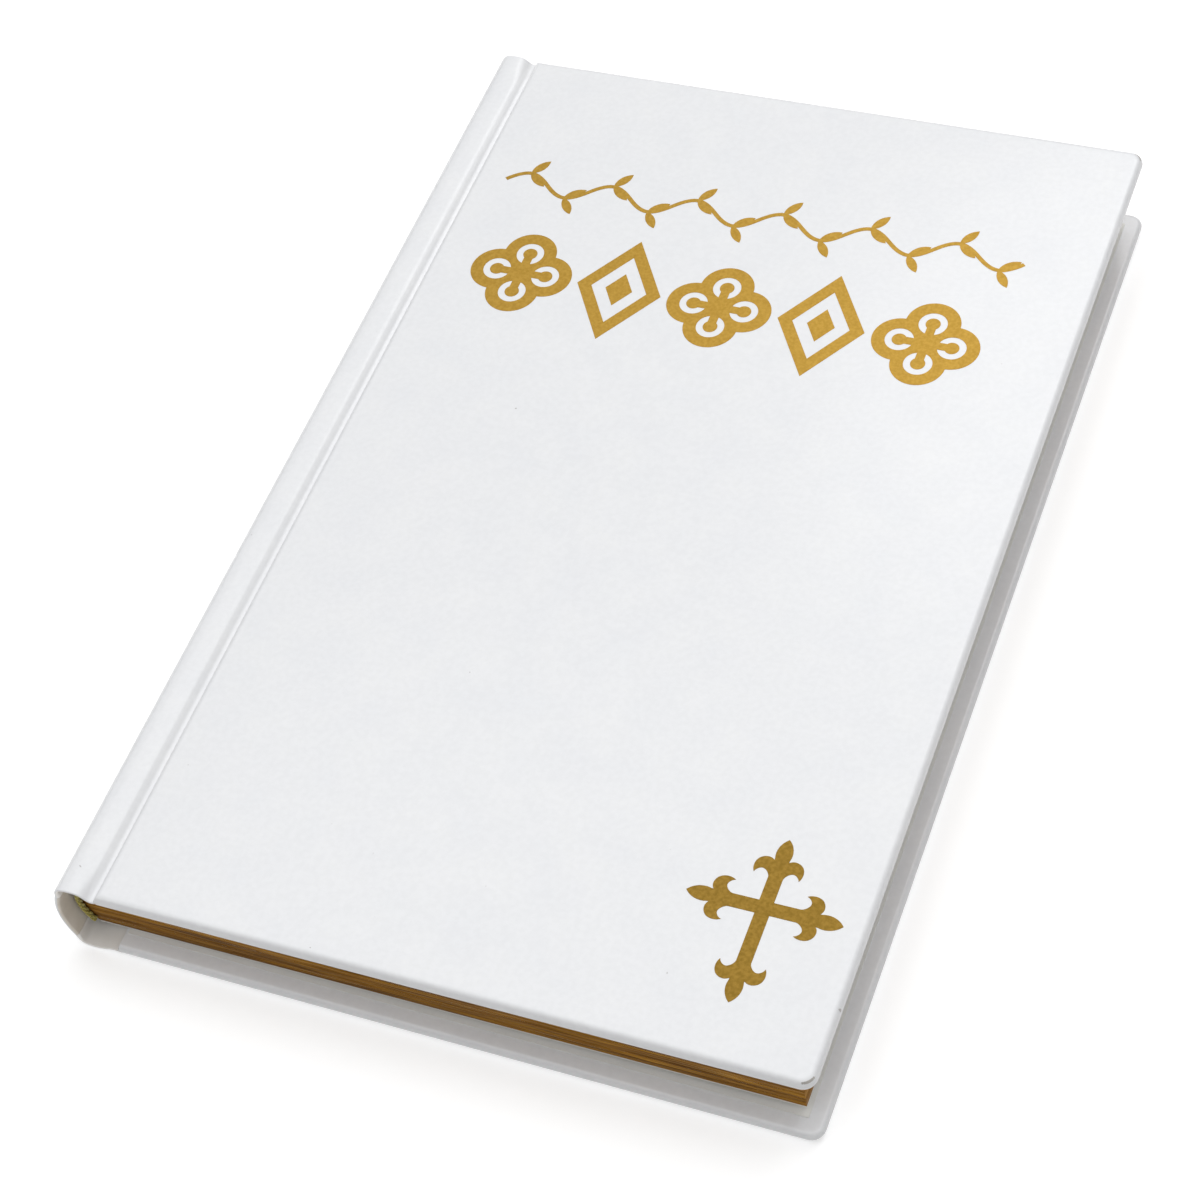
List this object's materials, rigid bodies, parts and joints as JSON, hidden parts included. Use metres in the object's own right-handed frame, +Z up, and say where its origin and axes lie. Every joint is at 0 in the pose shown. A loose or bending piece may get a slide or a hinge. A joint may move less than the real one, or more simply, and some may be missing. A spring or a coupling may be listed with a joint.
{
  "type": "bible",
  "caption": "Casebound book lying closed: laminated white boards, rounded hollow spine, gilt page edges, gold-foil cross and ornament; covers and front leaves open.",
  "frame": {"origin": "middle of the closed book's footprint, on the surface its back cover rests on", "axes": "+X from spine to fore edge, +Y from tail to head, +Z up out of the front cover"},
  "size_m": [0.1407, 0.216, 0.0204],
  "materials": {
    "cover_paper": "smooth white printed paper with a satin laminate",
    "greyboard": "dense grey binder's board",
    "spine_card": "thin flexible card",
    "endpaper": "plain uncoated white endpaper",
    "gilt_pages": "white text paper with metallic gilt edges",
    "crash_cloth": "open-weave cotton crash",
    "kraft_lining": "brown kraft paper",
    "band_thread": "twisted olive-yellow thread on a cotton tape",
    "sewing_thread": "white linen sewing thread",
    "gold_foil": "matt gold stamping foil"
  },
  "bodies": {
    "block": {"section_04": "gilt_pages", "section_05": "gilt_pages", "section_06": "gilt_pages", "section_07": "gilt_pages", "section_08": "gilt_pages", "section_09": "gilt_pages", "section_10": "gilt_pages", "back_flyleaf": "endpaper", "sewing_thread": "sewing_thread", "mull": "crash_cloth", "spine_lining": "kraft_lining", "head_band": "band_thread", "tail_band": "band_thread", "spine_panel": "spine_card", "spine_wrap": "cover_paper"},
    "front_cover": {"front_board": "greyboard", "front_cover_wrap": "cover_paper", "front_mull_flange": "crash_cloth", "front_pastedown": "endpaper", "front_joint": "cover_paper", "cross_foil": "gold_foil", "title_foil": "gold_foil", "vine_foil": "gold_foil"},
    "back_cover": {"back_board": "greyboard", "back_cover_wrap": "cover_paper", "back_mull_flange": "crash_cloth", "back_pastedown": "endpaper", "back_joint": "cover_paper"},
    "front_flyleaf": {"front_flyleaf": "endpaper"},
    "first_section": {"section_01": "gilt_pages"},
    "second_section": {"section_02": "gilt_pages"},
    "third_section": {"section_03": "gilt_pages"}
  },
  "joints": [
    {"name": "front_cover_hinge", "type": "hinge", "parent": "block", "child": "front_cover", "pos_m": [-0.06676, 0, 0.01604], "axis": [0, -1, 0], "range_deg": [0, 179], "deforming": ["front_joint"]},
    {"name": "back_cover_hinge", "type": "hinge", "parent": "block", "child": "back_cover", "pos_m": [-0.0666, 0, 0.00265], "axis": [0, 1, 0], "range_deg": [0, 179], "deforming": ["back_joint"]},
    {"name": "front_flyleaf_turn", "type": "hinge", "parent": "block", "child": "front_flyleaf", "pos_m": [-0.06676, 0, 0.01604], "axis": [0, -1, 0], "range_deg": [0, 176.8]},
    {"name": "first_section_turn", "type": "hinge", "parent": "block", "child": "first_section", "pos_m": [-0.06676, 0, 0.01604], "axis": [0, -1, 0], "range_deg": [0, 172.3]},
    {"name": "second_section_turn", "type": "hinge", "parent": "block", "child": "second_section", "pos_m": [-0.06676, 0, 0.01604], "axis": [0, -1, 0], "range_deg": [0, 167.9]},
    {"name": "third_section_turn", "type": "hinge", "parent": "block", "child": "third_section", "pos_m": [-0.06676, 0, 0.01604], "axis": [0, -1, 0], "range_deg": [0, 163.4]}
  ],
  "couplings": [
    {"joint": "front_flyleaf_turn", "follows": "front_cover_hinge", "ratio": 0.985},
    {"joint": "first_section_turn", "follows": "front_cover_hinge", "ratio": 0.96},
    {"joint": "second_section_turn", "follows": "front_cover_hinge", "ratio": 0.935},
    {"joint": "third_section_turn", "follows": "front_cover_hinge", "ratio": 0.91}
  ]
}
